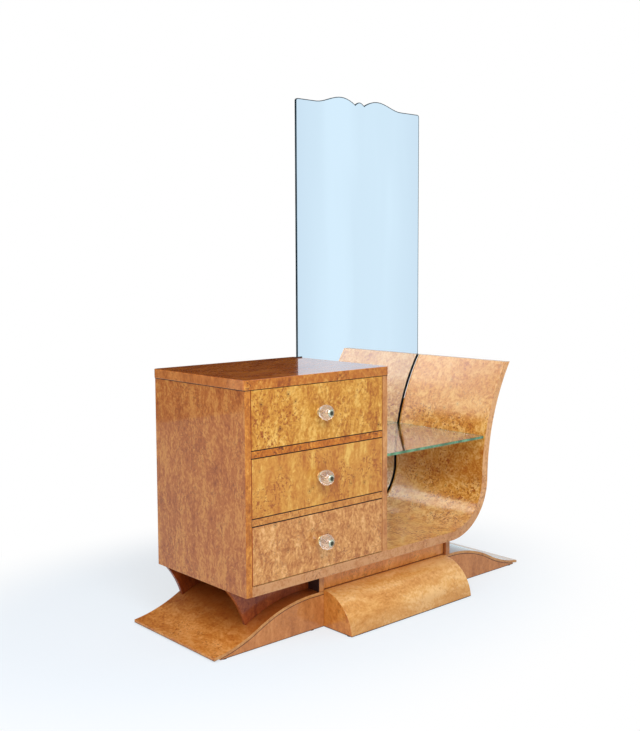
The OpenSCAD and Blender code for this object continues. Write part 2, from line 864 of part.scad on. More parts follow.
module block_outline(r) {
    intersection() {
        translate([plinth_front_y, -block_drop]) circle(r = r, $fn = curve_fn);
        rectangle([plinth_front_y - 2 * r, glide_t], [plinth_front_y, r]);
    }
}

module block_cover() {
    in_place() color(pale_burr) along(block_left_x + cheek_t, block_right_x - cheek_t) difference() {
        block_outline(block_r);
        translate([plinth_front_y, -block_drop]) circle(r = block_r - cover_t, $fn = curve_fn);
    }
}

module block_cheeks() {
    in_place() color(pale_burr) for (x = [block_left_x, block_right_x - cheek_t])
        along(x, x + cheek_t) block_outline(block_r);
}

module block_rib() {
    x = (block_left_x + block_right_x - cheek_t) / 2;
    in_place() color(plywood) along(x, x + cheek_t) block_outline(block_r - cover_t - glue_line);
}

module glide(x, y) {
    translate([x, y, 0]) cylinder(h = glide_t, d = glide_d, $fn = round_fn);
}

module floor_glides() {
    end = rail_reach - glide_d;
    in_place() color(blackened) {
        for (x = [-end, -half_crest, half_crest, end],
             y = [plinth_front_y + plinth_rail_t / 2, plinth_back_y - plinth_rail_t / 2])
            glide(plinth_x + x, y);
        for (x = [block_left_x + cheek_t / 2, block_right_x - cheek_t / 2])
            glide(x, block_front_y + glide_d);
    }
}

cabinet_top();
cabinet_left_side();
cabinet_right_side();
cabinet_back();
drawer_rail(2);  // upper_rail
drawer_rail(1);  // lower_rail
drawer_runners();
drawer_stops();
curved_board();
glass_shelf();
shelf_pins();
mirror_glass();
mirror_backing_board();
mirror_left_upright();
mirror_right_upright();
mirror_cross_rail();
upright_screws();
pedestal_left_panel();
pedestal_right_panel();
pedestal_long_panel(pedestal_y + panel_recess);  // pedestal_front_panel
pedestal_long_panel(pedestal_back_y - panel_recess - panel_t);  // pedestal_back_panel
fin(front_fin_y, 0);  // front_fin
fin(back_fin_y, back_fin_shift);  // back_fin
plinth_skin();
plinth_front_rail();
plinth_back_rail();
plinth_ribs();
plinth_toes();
block_cover();
block_cheeks();
block_rib();
floor_glides();
drawer_front(2);  // upper_drawer_front
drawer_side(2, true);  // upper_drawer_left_side
drawer_side(2, false);  // upper_drawer_right_side
drawer_back(2);  // upper_drawer_back
drawer_bottom(2);  // upper_drawer_bottom
knob_ball(2);  // upper_knob_ball
knob_collar(2);  // upper_knob_collar
knob_bolt(2);  // upper_knob_bolt
knob_nut(2);  // upper_knob_nut
drawer_front(1);  // middle_drawer_front
drawer_side(1, true);  // middle_drawer_left_side
drawer_side(1, false);  // middle_drawer_right_side
drawer_back(1);  // middle_drawer_back
drawer_bottom(1);  // middle_drawer_bottom
knob_ball(1);  // middle_knob_ball
knob_collar(1);  // middle_knob_collar
knob_bolt(1);  // middle_knob_bolt
knob_nut(1);  // middle_knob_nut
drawer_front(0);  // lower_drawer_front
drawer_side(0, true);  // lower_drawer_left_side
drawer_side(0, false);  // lower_drawer_right_side
drawer_back(0);  // lower_drawer_back
drawer_bottom(0);  // lower_drawer_bottom
knob_ball(0);  // lower_knob_ball
knob_collar(0);  // lower_knob_collar
knob_bolt(0);  // lower_knob_bolt
knob_nut(0);  // lower_knob_nut
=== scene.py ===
import json
from math import atan2, cos, pi, radians, sin, sqrt

import bmesh
import bpy
from mathutils import Matrix, Vector


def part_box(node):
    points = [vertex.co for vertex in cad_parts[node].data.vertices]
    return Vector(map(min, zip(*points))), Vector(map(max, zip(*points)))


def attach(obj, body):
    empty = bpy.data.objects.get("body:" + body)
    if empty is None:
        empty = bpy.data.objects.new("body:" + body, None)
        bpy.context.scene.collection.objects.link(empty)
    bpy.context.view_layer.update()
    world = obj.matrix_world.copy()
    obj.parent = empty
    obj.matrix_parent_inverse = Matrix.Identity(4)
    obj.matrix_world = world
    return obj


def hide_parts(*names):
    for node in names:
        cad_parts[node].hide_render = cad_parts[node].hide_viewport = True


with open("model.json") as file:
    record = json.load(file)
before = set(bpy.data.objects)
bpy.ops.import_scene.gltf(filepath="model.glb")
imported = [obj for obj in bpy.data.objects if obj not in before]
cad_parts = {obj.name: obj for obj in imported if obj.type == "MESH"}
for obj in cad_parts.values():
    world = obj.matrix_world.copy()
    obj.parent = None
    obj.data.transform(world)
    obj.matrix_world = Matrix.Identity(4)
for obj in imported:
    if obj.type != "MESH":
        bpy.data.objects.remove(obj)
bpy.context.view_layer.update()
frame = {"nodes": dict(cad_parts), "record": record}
nodes = frame["nodes"]
scene = bpy.context.scene
mm = 0.001
weld = 0.01 * mm  # points nearer to each other than this are one
onPlane = 0.001 * mm  # points nearer to a cut than this lie on it
front, left, up, down = (0, -1, 0), (-1, 0, 0), (0, 0, 1), (0, 0, -1)
print("frame loaded with", len(nodes), "nodes")

# Camera, fitted to the photograph

cameraFit = {
    "place": (-2.0363, -2.0880, 0.9901),
    "yaw": 0.722095, "pitch": -0.0890175, "roll": -0.0054281,
    "sensor": 36, "lens": 48.909, "shiftX": 0.02097, "shiftY": -0.01605,
    "nearest": 0.05, "farthest": 60,
}


def makeCamera(s):
    data = bpy.data.cameras.new("camera")
    data.sensor_width = s["sensor"]
    data.lens = s["lens"]
    data.shift_x, data.shift_y = s["shiftX"], s["shiftY"]
    data.clip_start, data.clip_end = s["nearest"], s["farthest"]
    camera = bpy.data.objects.new("camera", data)
    turn = (Matrix.Rotation(-s["yaw"], 3, "Z") @ Matrix.Rotation(pi / 2 + s["pitch"], 3, "X")
            @ Matrix.Rotation(s["roll"], 3, "Z"))
    camera.location = s["place"]
    camera.rotation_euler = turn.to_euler()
    scene.collection.objects.link(camera)
    scene.camera = camera


makeCamera(cameraFit)
scene.view_settings.view_transform = "Standard"
print("camera placed")


# Shader writing

def colour(code):
    # a six-figure screen colour as Blender's linear one
    parts = [int(code[i:i + 2], 16) / 255 for i in (1, 3, 5)]
    return (*[c / 12.92 if c <= 0.04045 else ((c + 0.055) / 1.055) ** 2.4 for c in parts], 1)


class Wire:
    # a node's socket that Python's own sums can be written with
    def __init__(self, kit, socket):
        self.kit, self.socket = kit, socket

    def __add__(self, other):
        return self.kit.sum("ADD", self, other)

    def __sub__(self, other):
        return self.kit.sum("SUBTRACT", self, other)

    def __rsub__(self, other):
        return self.kit.sum("SUBTRACT", other, self)

    def __mul__(self, other):
        return self.kit.sum("MULTIPLY", self, other)

    __radd__, __rmul__ = __add__, __mul__


class NodeKit:
    def __init__(self, tree):
        self.tree = tree
        tree.nodes.clear()

    def node(self, kind, settings=None, inputs=None, output=0):
        made = self.tree.nodes.new("ShaderNode" + kind)
        for key, value in (settings or {}).items():
            if key == "stops":
                ramp = made.color_ramp
                while len(ramp.elements) < len(value):
                    ramp.elements.new(0.5)
                for stop, (at, tint) in zip(ramp.elements, value):
                    stop.position, stop.color = at, tint
            else:
                setattr(made, key, value)
        for key, value in (inputs or {}).items():
            if isinstance(value, Wire):
                self.tree.links.new(value.socket, made.inputs[key])
            else:
                made.inputs[key].default_value = value
        return Wire(self, made.outputs[output]) if made.outputs else None

    def sum(self, operation, *values):
        return self.node("Math", {"operation": operation}, dict(enumerate(values)))

    def vector(self, operation, *values, output=0):
        return self.node("VectorMath", {"operation": operation}, dict(enumerate(values)), output)

    def mix(self, factor, first, second):
        return self.node("Mix", {"data_type": "RGBA"}, {0: factor, 6: first, 7: second}, 2)

    def step(self, value, low, high):
        # 0 below low and 1 above high, eased between them
        settings = {"interpolation_type": "SMOOTHSTEP", "clamp": True}
        return self.node("MapRange", settings, {0: value, 1: low, 2: high})

    def noise(self, place, scale, detail=3.0, rough=0.55, output=0):
        inputs = {"Vector": place, "Scale": scale, "Detail": detail, "Roughness": rough}
        return self.node("TexNoise", None, inputs, output)

    def stretched(self, place, times):
        return self.vector("MULTIPLY", place, times)

    def warped(self, place, scale, reach, detail=2.0):
        shift = self.vector("SUBTRACT", self.noise(place, scale, detail, output=1), (0.5, 0.5, 0.5))
        return self.vector("ADD", place, self.stretched(shift, (reach,) * 3))

    def along(self, place, axis):
        return self.vector("DOT_PRODUCT", place, axis, output=1)

    def place(self, turn=(0, 0, 0), uv=False, shift=(0, 0, 0)):
        source = self.node("TexCoord", output="UV" if uv else "Object")
        return self.node("Mapping", None, {"Vector": source, "Location": shift, "Rotation": turn})

    def bump(self, height, strength, distance):
        return self.node("Bump", None, {"Height": height, "Strength": strength, "Distance": distance})


def newMaterial(name):
    material = bpy.data.materials.new(name)
    material.use_nodes = True
    return material, NodeKit(material.node_tree)


def newFinish(name, surface):
    # surface(kit) gives the sockets of a Principled shader
    material, kit = newMaterial(name)
    kit.node("OutputMaterial", None, {"Surface": kit.node("BsdfPrincipled", None, surface(kit))})
    return material


# Woods
# tints run from dark to bright; cloud, flame and mottle are the shares of the large, middle and fine figure;
# run draws the figure out along the grain; turn brings the grain upright and flat lays the face in x and y for knots;
# dense thins the flecks out from one side to the other, and calm above a height by a share;
# a painted shade darkens the wood where shadow falls: an axis, where it starts and is full, its share, and for a band
# where it starts and ends to fade again

upright = (0, 0, 0)
alongFront = (0, pi / 2, 0)
alongDepth = (pi / 2, 0, 0)
frontFlat = (-pi / 2, 0, 0)
sideFlat = (0, pi / 2, 0)

# what a wood has where its own entry says nothing else
plainWood = dict(cloud=0.3, flame=0.4, mottle=0.3, run=0.5, turn=upright, shift=(0, 0, 0), uv=False, flecks=0.5,
                 fleckScale=140, coat=0.35, coatRough=0.05, paintedShades=[])

woods = {
    "topVeneer": dict(tints=("#9f4611", "#c05e1a", "#d87525", "#ed8c34"), fleck="#6e3612", turn=alongFront, coat=1.0),
    "sideVeneer": dict(tints=("#87421e", "#a55928", "#b66931", "#cd8743"), fleck="#7c4228", shift=(0.3, 0.1, 0.4),
                       run=0.3, flecks=0.5, cloud=0.25, flame=0.4, mottle=0.45, flat=sideFlat, knots=0.25),
    "slabEdge": dict(tints=("#934711", "#b1611b", "#bf7326", "#d69745"), fleck="#7c3a12", shift=(0.9, 0.3, 0.2),
                     flecks=0.95, run=0.4, mottle=0.5, flame=0.35, cloud=0.15),
    "slabSide": dict(tints=("#a55a27", "#b76932", "#c6783b", "#d58948"), fleck="#824a28", shift=(0.9, 0.3, 0.2),
                     flecks=0.4),
    "stileBurr": dict(tints=("#8f480f", "#b7681f", "#cf832f", "#e8a852"), fleck="#95521c", flecks=0.6, run=0.5),
    "rightStile": dict(tints=("#a56434", "#b87540", "#c6864b", "#d4985e"), fleck="#86492a", flecks=0.35),
    "railBurr": dict(tints=("#8d450a", "#b15e12", "#c7741d", "#de9133"), fleck="#5f2408", run=0.5, flecks=0.9,
                     mottle=0.45, flame=0.35, cloud=0.2),
    "lowerRailBurr": dict(tints=("#a05c22", "#bd7632", "#cd8a40", "#dea257"), fleck="#86431c", run=0.5, flecks=0.6,
                          mottle=0.45, flame=0.35, cloud=0.2),
    "upperBurr": dict(tints=("#9a4d0f", "#b87020", "#cf8f34", "#e7b359"), fleck="#93430e", flecks=0.95,
                      flat=frontFlat, knots=0.9, fleckScale=120, dense=(-0.5, -0.28), mottle=0.35, flame=0.45,
                      cloud=0.25),
    "middleBurr": dict(tints=("#a85a20", "#c1792d", "#d0903b", "#e3b158"), fleck="#9c5220", shift=(0.5, 0.2, 0.9),
                       flecks=0.95, run=0.32, flat=frontFlat, knots=0.6, cloud=0.32, flame=0.42, mottle=0.28),
    "lowerBurr": dict(tints=("#965528", "#ba753d", "#d09251", "#e9b073"), fleck="#985c38", shift=(1.5, 0.8, 0.3),
                      flecks=0.6, flat=frontFlat, knots=0.6, mottle=0.45, flame=0.35, cloud=0.2),
    # painted shade on the block: darker along its top, under the cabinet, and in a band low on its front
    "paleBurr": dict(tints=("#ba7530", "#cf8f46", "#dca25b", "#ebbb7d"), fleck="#a4622a", shift=(2.5, 0.3, 0.1),
                     flecks=0.3, turn=alongFront, run=0.3, cloud=0.42, flame=0.28, mottle=0.35,
                     paintedShades=[(up, 0.08, 0.104, 0.28), (down, -0.055, -0.03, 0.28)]),
    "cheekBurr": dict(tints=("#aa5a20", "#c2732d", "#d2863b", "#e19b4e"), fleck="#8a4a1e", shift=(2.5, 0.3, 0.1),
                      flecks=0.5),
    # painted shade on the curved board: darker up the wing, toning down the light there, and in a band under the glass
    # shelf where its shadow falls
    "boardBurr": dict(tints=("#a35313", "#c37727", "#d8953c", "#eebb6d"), fleck="#9a4a14", shift=(0.2, 0.3, 0.1),
                      flecks=1.0, uv=True, mottle=0.5, flame=0.35, cloud=0.25, flat=upright, knots=0.5,
                      fleckScale=135, calm=(0.5, 0.6, 0.7), run=0.8, coat=0.75, coatRough=0.22,
                      paintedShades=[(up, 0.46, 0.68, 0.26), (down, -0.45, -0.41, 0.35, -0.33, -0.28)]),
    # painted shade: the board's front edge darkens towards the bottom
    "boardEdge": dict(tints=("#a86236", "#bf7b46", "#d09056", "#dfa56e"), fleck="#8a4a26", flecks=0.6, mottle=0.5,
                      paintedShades=[(down, -0.26, -0.19, 0.35)]),
    # painted shadow: the plinth's top darkens towards the pedestal, under the cabinet
    "plinthBurr": dict(tints=("#964816", "#b96a29", "#cd8238", "#e19c57"), fleck="#7e3a12", turn=alongDepth,
                       flecks=0.55, mottle=0.4, coat=1.0, paintedShades=[(left, -0.57, -0.44, 0.85)]),
    "skinEdge": dict(tints=("#a26434", "#b67840", "#c2884e", "#ce9862"), fleck="#8a4a1e", flecks=0.2),
    "plinthSide": dict(tints=("#a36031", "#b5703a", "#c17b43", "#cd8b50"), fleck="#96603e", flecks=0.25, run=0.18),
    # painted light: plinthSide's veneer made brighter for the pedestal's recessed front panel, against the shade of
    # its recess
    "litPanelVeneer": dict(tints=("#d2813f", "#e7954b", "#f5a457", "#ffb664"), fleck="#96603e", flecks=0.4, run=0.18),
    "mahogany": dict(tints=("#6d2b11", "#873b16", "#9d4b1f", "#b9602b"), fleck="#36140a", flecks=0.3, run=0.15),
}

# what all the woods share; a bend is a scale and a reach, and a span is where something starts and is full
figure = {
    "drift": (5, 0.05), "curl": (30, 0.018), "ripple": (90, 0.006), "knotBend": (60, 0.004),
    "cloudScale": 16, "flameScale": 48, "mottleScale": 130, "grainScale": 420, "mottleRun": 0.75, "grainRun": 0.5,
    "tintStops": (0.37, 0.455, 0.535, 0.63),
    "clusterScale": 13, "clusterSpan": (0.42, 0.6), "clusterShare": 0.6, "denseShare": 0.55, "fleckSpan": (0.53, 0.61),
    "knotTint": "#4a1c0c", "knotScale": 15.0, "knotSpan": (0.02, 0.055), "rareScale": 7, "rareSpan": (0.5, 0.56),
    "ringRise": (0.05, 0.07), "ringFall": (0.09, 0.13), "ringShare": 0.3,
    "rough": 0.28, "grainRough": 0.12, "fleckRough": 0.1, "shine": 0.2, "bump": 0.1, "deep": 0.3 * mm,
}


def fleckMask(kit, s, drift, curl):
    # dark flecks lie in clusters
    cluster = kit.step(kit.noise(drift, figure["clusterScale"], 3), *figure["clusterSpan"])
    if "dense" in s:
        across = kit.node("SeparateXYZ", None, {"Vector": drift})
        cluster = cluster * figure["clusterShare"] + (1 - kit.step(across, *s["dense"])) * figure["denseShare"]
    specks = kit.step(kit.noise(curl, s["fleckScale"], 3, 0.65), *figure["fleckSpan"])
    mask = cluster * specks * s["flecks"]
    if "calm" in s:
        low, high, share = s["calm"]
        mask = mask * (1 - kit.step(kit.along(kit.place(), up), low, high) * share)
    return mask


def knotMask(kit, s):
    # a few dots, each with a fainter ring round it
    flat = kit.warped(kit.place(s["flat"], s["uv"], s["shift"]), *figure["knotBend"])
    inputs = {"Vector": kit.stretched(flat, (1, 1, 0)), "Scale": figure["knotScale"]}
    spot = kit.node("TexVoronoi", {"voronoi_dimensions": "2D"}, inputs)
    rare = kit.step(kit.noise(flat, figure["rareScale"], 1), *figure["rareSpan"])
    knot = (1 - kit.step(spot, *figure["knotSpan"])) * rare * s["knots"]
    ring = kit.step(spot, *figure["ringRise"]) * (1 - kit.step(spot, *figure["ringFall"])) * rare
    return kit.sum("MAXIMUM", knot, ring * (s["knots"] * figure["ringShare"]))


def paintedShadeMask(kit, axis, low, high, share, *fade):
    # painted shade: darker towards one side of the piece, or in a band across it, where shadow falls on it
    along = kit.along(kit.vector("ABSOLUTE", kit.place()), axis)
    shade = kit.step(along, low, high) * share
    return shade * (1 - kit.step(along, *fade)) if fade else shade


def woodSurface(wood):
    s = {**plainWood, **wood}

    def surface(kit):
        place = kit.place(s["turn"], s["uv"], s["shift"])
        drift = kit.warped(place, *figure["drift"])
        curl = kit.warped(kit.warped(drift, *figure["curl"]), *figure["ripple"])
        cloud = kit.noise(kit.stretched(drift, (1, 1, s["run"])), figure["cloudScale"], 3, 0.5)
        flame = kit.noise(kit.stretched(curl, (1, 1, s["run"])), figure["flameScale"], 4, 0.6)
        mottle = kit.noise(kit.stretched(curl, (1, 1, figure["mottleRun"])), figure["mottleScale"], 3, 0.6)
        grain = kit.noise(kit.stretched(curl, (1, 1, figure["grainRun"])), figure["grainScale"], 3, 0.7)
        blend = cloud * s["cloud"] + flame * s["flame"] + mottle * s["mottle"]
        stops = list(zip(figure["tintStops"], [colour(t) for t in s["tints"]]))
        mask = fleckMask(kit, s, drift, curl)
        tinted = kit.mix(mask, kit.node("ValToRGB", {"stops": stops}, {"Fac": blend}), colour(s["fleck"]))
        if "knots" in s:
            tinted = kit.mix(knotMask(kit, s), tinted, colour(figure["knotTint"]))
        for shade in s["paintedShades"]:
            tinted = kit.mix(paintedShadeMask(kit, *shade), tinted, colour(s["fleck"]))
        height = grain * 0.5 + mottle * 0.5 - mask * 0.4
        return {
            "Base Color": tinted,
            "Roughness": figure["rough"] + grain * figure["grainRough"] + mask * figure["fleckRough"],
            "Specular IOR Level": figure["shine"], "Coat Weight": s["coat"], "Coat Roughness": s["coatRough"],
            "Normal": kit.bump(height, figure["bump"], figure["deep"]),
        }
    return surface


finishes = {name: newFinish(name, woodSurface(wood)) for name, wood in woods.items()}


# Other finishes

def bareWood(tints, turn):
    def surface(kit):
        wander = kit.warped(kit.place(turn), scale=3, reach=0.03)
        band = kit.noise(kit.stretched(wander, (1, 1, 0.06)), scale=45, detail=4, rough=0.6)
        fibre = kit.noise(kit.stretched(wander, (1, 1, 0.03)), scale=600, detail=3, rough=0.7)
        stops = [(0.35, colour(tints[0])), (0.65, colour(tints[1]))]
        base = kit.node("ValToRGB", {"stops": stops}, {"Fac": band * 0.7 + fibre * 0.3})
        return {"Base Color": base, "Roughness": 0.5 + fibre * 0.25,
                "Normal": kit.bump(fibre, strength=0.25, distance=0.3 * mm)}
    return surface


def paintedBlack(kit):
    place = kit.place()
    brushed = kit.noise(kit.stretched(place, (1, 1, 0.08)), scale=300, detail=3, rough=0.6)
    worn = kit.noise(place, scale=14, detail=4, rough=0.6)
    base = kit.mix(kit.step(worn, low=0.45, high=0.75), colour("#232122"), colour("#34302e"))
    return {"Base Color": base, "Roughness": 0.45 + worn * 0.25,
            "Normal": kit.bump(brushed, strength=0.2, distance=0.3 * mm)}


def polishedMetal(tint, low, high):
    # low and high bound the roughness
    def surface(kit):
        place = kit.place()
        smear = kit.noise(place, scale=60, detail=4, rough=0.6)
        return {"Base Color": colour(tint), "Metallic": 1.0, "Roughness": low + smear * (high - low),
                "Normal": kit.bump(kit.noise(place, scale=900, detail=2), strength=0.02, distance=0.1 * mm)}
    return surface


def feltSurface(kit):
    nap = kit.noise(kit.place(), scale=1800, detail=3, rough=0.7)
    base = kit.mix(nap, colour("#1f1a18"), colour("#3a322d"))
    return {"Base Color": base, "Roughness": 0.95, "Normal": kit.bump(nap, strength=0.5, distance=0.4 * mm)}


# the silver's colour is a little greyer towards the glass's sides, painted shade in the reflection; middle is the
# glass's own, in x
silvering = {"middle": 0.216, "edgeFrom": 0.12, "edgeTo": 0.28, "tints": ("#eaf0f9", "#eff5fe"), "shadedEdgeTint": "#e4eaf4"}


def silveredSurface(kit):
    place = kit.place()
    drift = kit.warped(place, scale=1.5, reach=0.1)
    haze = kit.noise(kit.stretched(drift, (1, 1, 0.15)), scale=7, detail=2, rough=0.5)
    across = kit.node("SeparateXYZ", None, {"Vector": place})
    away = kit.sum("ABSOLUTE", across - silvering["middle"])
    base = kit.mix(kit.step(haze, low=0.35, high=0.65), *[colour(t) for t in silvering["tints"]])
    base = kit.mix(kit.step(away, silvering["edgeFrom"], silvering["edgeTo"]), base, colour(silvering["shadedEdgeTint"]))
    return {"Base Color": base, "Metallic": 1.0, "Roughness": 0.01 + haze * 0.01}


def glassRim(tint, edge, coat=0.6):
    # what has a thinner coat is duller too
    def surface(kit):
        depth = kit.noise(kit.stretched(kit.place(), (1, 1, 0.3)), scale=40, detail=3, rough=0.6)
        base = kit.mix(kit.step(depth, low=0.35, high=0.65), colour(tint), colour(edge))
        return {"Base Color": base, "Roughness": (0.75 - coat) + depth * 0.1, "Specular IOR Level": coat * 0.8,
                "Coat Weight": coat, "Coat Roughness": 0.03}
    return surface


def clearSurface(tint, rough, ior, through=1.0, lamplight=0.0):
    # lamplight is the share of a lamp's light that passes the glass to what is behind it
    def surface(kit):
        wear = kit.noise(kit.place(), scale=40, detail=4, rough=0.6)
        sockets = {"Base Color": kit.mix(wear, colour(tint), colour("#ffffff")), "Roughness": rough + wear * 0.02,
                   "IOR": ior, "Transmission Weight": through}
        if lamplight:
            sockets["Alpha"] = 1 - kit.node("LightPath", output="Is Shadow Ray") * lamplight
        return sockets
    return surface


otherSurfaces = {
    "drawerWood": bareWood(("#c49a66", "#dbb988"), alongDepth),
    "plywood": bareWood(("#b98f5e", "#d2ad7c"), alongFront),
    "blackPaint": paintedBlack,
    "chrome": polishedMetal("#d0cab2", 0.05, 0.14),
    # painted reflection: the collars' chrome is tinted warm for the orange wood it mirrors
    "chromeWoodReflection": polishedMetal("#f2c88e", 0.06, 0.16),
    # painted reflection: the dark centre of the bolts' domed heads
    "chromeDarkReflection": polishedMetal("#524e40", 0.1, 0.22),
    "steel": polishedMetal("#9a9a9c", 0.3, 0.5),
    "felt": feltSurface,
    "silvered": silveredSurface,
    "glassRim": glassRim("#142229", "#2a3d45", 0.2),
    # painted glint on the board beside the mirror's glass
    "paintedGlintPale": glassRim("#dfe6ea", "#f4f6f8"),
    "shelfGlass": clearSurface("#eaf6f2", 0.01, 1.5, lamplight=0.4),
    "shelfEdge": glassRim("#366238", "#6d9f70"),
    # near black: joint lines, and painted shade in the gaps, along the floor and under the cabinet
    "jointAndShadeDark": bareWood(("#260c06", "#40180c"), alongFront),
    # black: the mirror glass's dark edge, and painted shadow of the gap where it meets the board
    "edgeAndGapShadeBlack": glassRim("#060c0c", "#101a1a", 0.0),
    # painted light: the warm glow of the lit reveals beside the drawers
    "litRevealRed": bareWood(("#a63c0c", "#c85818"), upright),
    "resin": clearSurface("#f3dcc6", 0.01, 1.49, 0.9),
}
finishes.update({name: newFinish(name, surface) for name, surface in otherSurfaces.items()})
print("finishes written:", len(finishes))


# Piece making

def finishPiece(name, bm, materials, body, replaced=(), flatAbove=12):
    mesh = bpy.data.meshes.new(name)
    bm.to_mesh(mesh)
    bm.free()
    for material in materials:
        mesh.materials.append(finishes[material])
    mesh.shade_smooth()
    mesh.set_sharp_from_angle(angle=radians(flatAbove))
    piece = bpy.data.objects.new(name, mesh)
    scene.collection.objects.link(piece)
    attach(piece, body)
    if replaced:
        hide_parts(*replaced)


def mergedCopy(node):
    # a node's loose triangles joined into whole faces
    bm = bmesh.new()
    bm.from_mesh(nodes[node].data)
    bmesh.ops.remove_doubles(bm, verts=bm.verts, dist=weld)
    bmesh.ops.dissolve_limit(bm, angle_limit=radians(0.3), use_dissolve_boundaries=False, verts=bm.verts,
                             edges=bm.edges)
    return bm


def easeEdges(bm, width, segments=2, above=25, chosen=lambda edge: True):
    sharp = [e for e in bm.edges if e.is_manifold and e.calc_face_angle(0) > radians(above) and chosen(e)]
    bmesh.ops.bevel(bm, geom=sharp, offset=width, offset_type="OFFSET", segments=segments, profile=0.5,
                    affect="EDGES", material=-1, clamp_overlap=True)


def cutAcross(bm, place, normal, drop=True):
    # drops what lies beyond a plane, or only cuts along it
    bmesh.ops.bisect_plane(bm, geom=bm.verts[:] + bm.edges[:] + bm.faces[:], dist=onPlane, plane_co=place,
                           plane_no=normal, clear_outer=drop)


def looksAlong(face, axis, least=0.99):
    # least is the cosine of the widest angle that still counts
    return face.normal.dot(Vector(axis)) > least


def dressFaces(bm, extras):
    # gives the faces that look along a direction the finish of its place in the list
    for face in bm.faces:
        for index, (axis, _) in enumerate(extras, 1):
            if looksAlong(face, axis, 0.75):
                face.material_index = index


def rimFaces(bm, axis, width, index):
    # a thin line round the flat faces that look along a direction
    faces = [f for f in bm.faces if looksAlong(f, axis)]
    made = bmesh.ops.inset_region(bm, faces=faces, thickness=width, use_even_offset=True, use_boundary=True)
    for face in made["faces"]:
        face.material_index = index


# Pieces that keep a node's shape and get eased edges: faces lists the finish of faces that look another way,
# round is the finish of all but the show face, and foot and rim are the widths of dark lines: foot a painted contact
# shadow along the bottom, rim round the front face, joint lines with painted shadow along the recess and the floor

easedPieces = [
    dict(node="cabinet_left_side", name="cabinetLeftSide", finish="sideVeneer", slot="side_veneer", ease=0.8,
         faces=[(front, "stileBurr")]),
    dict(node="cabinet_right_side", name="cabinetRightSide", finish="sideVeneer", slot="side_veneer", ease=0.8,
         faces=[(front, "rightStile")]),
    # painted shade: the rails' edges beside the drawers are dark, the shadow in the gaps
    dict(node="upper_rail", name="upperRail", finish="railBurr", slot="front_burr", ease=1.0, round="jointAndShadeDark"),
    dict(node="lower_rail", name="lowerRail", finish="lowerRailBurr", slot="front_burr", ease=1.0, round="jointAndShadeDark"),
    # painted shadow: the pedestal's left face, deep under the cabinet, is near black
    dict(node="pedestal_left_panel", name="pedestalLeftPanel", finish="plinthSide", slot="plinth_sides", ease=0.8,
         faces=[(left, "jointAndShadeDark")]),
    dict(node="pedestal_right_panel", name="pedestalRightPanel", finish="plinthSide", slot="plinth_sides", ease=0.8),
    # the recessed front panel wears the brightened veneer, painted light
    dict(node="pedestal_front_panel", name="pedestalFrontPanel", finish="litPanelVeneer", slot="plinth_sides", ease=0.6,
         rim=1.2),
    dict(node="front_fin", name="frontFin", finish="mahogany", slot="mahogany", ease=1.2),
    dict(node="back_fin", name="backFin", finish="mahogany", slot="mahogany", ease=1.2),
    dict(node="plinth_front_rail", name="plinthFrontRail", finish="plinthSide", slot="plinth_sides", ease=0.3,
         rim=1.6),
    dict(node="plinth_skin", name="plinthSkin", finish="plinthBurr", slot="plinth_burr", ease=0.9, foot=1.8,
         faces=[(front, "skinEdge"), (left, "cheekBurr")]),
    dict(node="block_cover", name="blockCover", finish="paleBurr", slot="pale_burr", ease=0.4, foot=2.2),
    dict(node="block_cheeks", name="blockCheeks", finish="paleBurr", slot="pale_burr", ease=1.0, foot=2.2,
         faces=[(left, "cheekBurr")]),
    dict(node="cabinet_top", name="cabinetTop", finish="slabEdge", slot="top_veneer", ease=1.4,
         faces=[(up, "topVeneer"), (left, "slabSide")]),
]


def makeEased():
    for s in easedPieces:
        extras = s.get("faces", [])
        bm = mergedCopy(s["node"])
        easeEdges(bm, s["ease"] * mm)
        dressFaces(bm, extras)
        materials = [s["finish"], *[finish for _, finish in extras]]
        if "round" in s:
            for face in bm.faces:
                if not looksAlong(face, front):
                    face.material_index = len(materials)
            materials.append(s["round"])
        if "foot" in s:
            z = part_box(s["node"])[0].z + s["foot"] * mm
            cutAcross(bm, (0, 0, z), up, drop=False)
            for face in bm.faces:
                if face.calc_center_median().z < z:
                    face.material_index = len(materials)
            materials.append("jointAndShadeDark")
        if "rim" in s:
            rimFaces(bm, front, s["rim"] * mm, len(materials))
            materials.append("jointAndShadeDark")
        finishPiece(s["name"], bm, materials, "root", [s["node"]])


makeEased()
print("cabinet, plinth and block eased")

topLine = {"height": 1.8, "proud": 0.5, "ease": 0.2}


def makeTopLine(s):
    # a thin dark strip just under the cabinet's top, on its left side and on both stiles
    bm = bmesh.new()
    leftLow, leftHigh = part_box("cabinet_left_side")
    rightLow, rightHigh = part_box("cabinet_right_side")
    proud, z = s["proud"] * mm, leftHigh.z
    strips = [
        (leftLow.x - proud, leftLow.y - proud, leftLow.x + mm, leftHigh.y),
        (leftLow.x - proud, leftLow.y - proud, leftHigh.x, leftLow.y + mm),
        (rightLow.x, rightLow.y - proud, rightHigh.x, rightLow.y + mm),
    ]
    for x0, y0, x1, y1 in strips:
        made = bmesh.ops.create_cube(bm, size=1)["verts"]
        bmesh.ops.scale(bm, vec=(x1 - x0, y1 - y0, s["height"] * mm), verts=made)
        bmesh.ops.translate(bm, vec=((x0 + x1) / 2, (y0 + y1) / 2, z - s["height"] * mm / 2), verts=made)
    easeEdges(bm, s["ease"] * mm, 1)
    finishPiece("topDarkStrip", bm, ["jointAndShadeDark"], "root")


makeTopLine(topLine)

drawerFronts = {"ease": 1.8, "burr": {"upper": "upperBurr", "middle": "middleBurr", "lower": "lowerBurr"}}


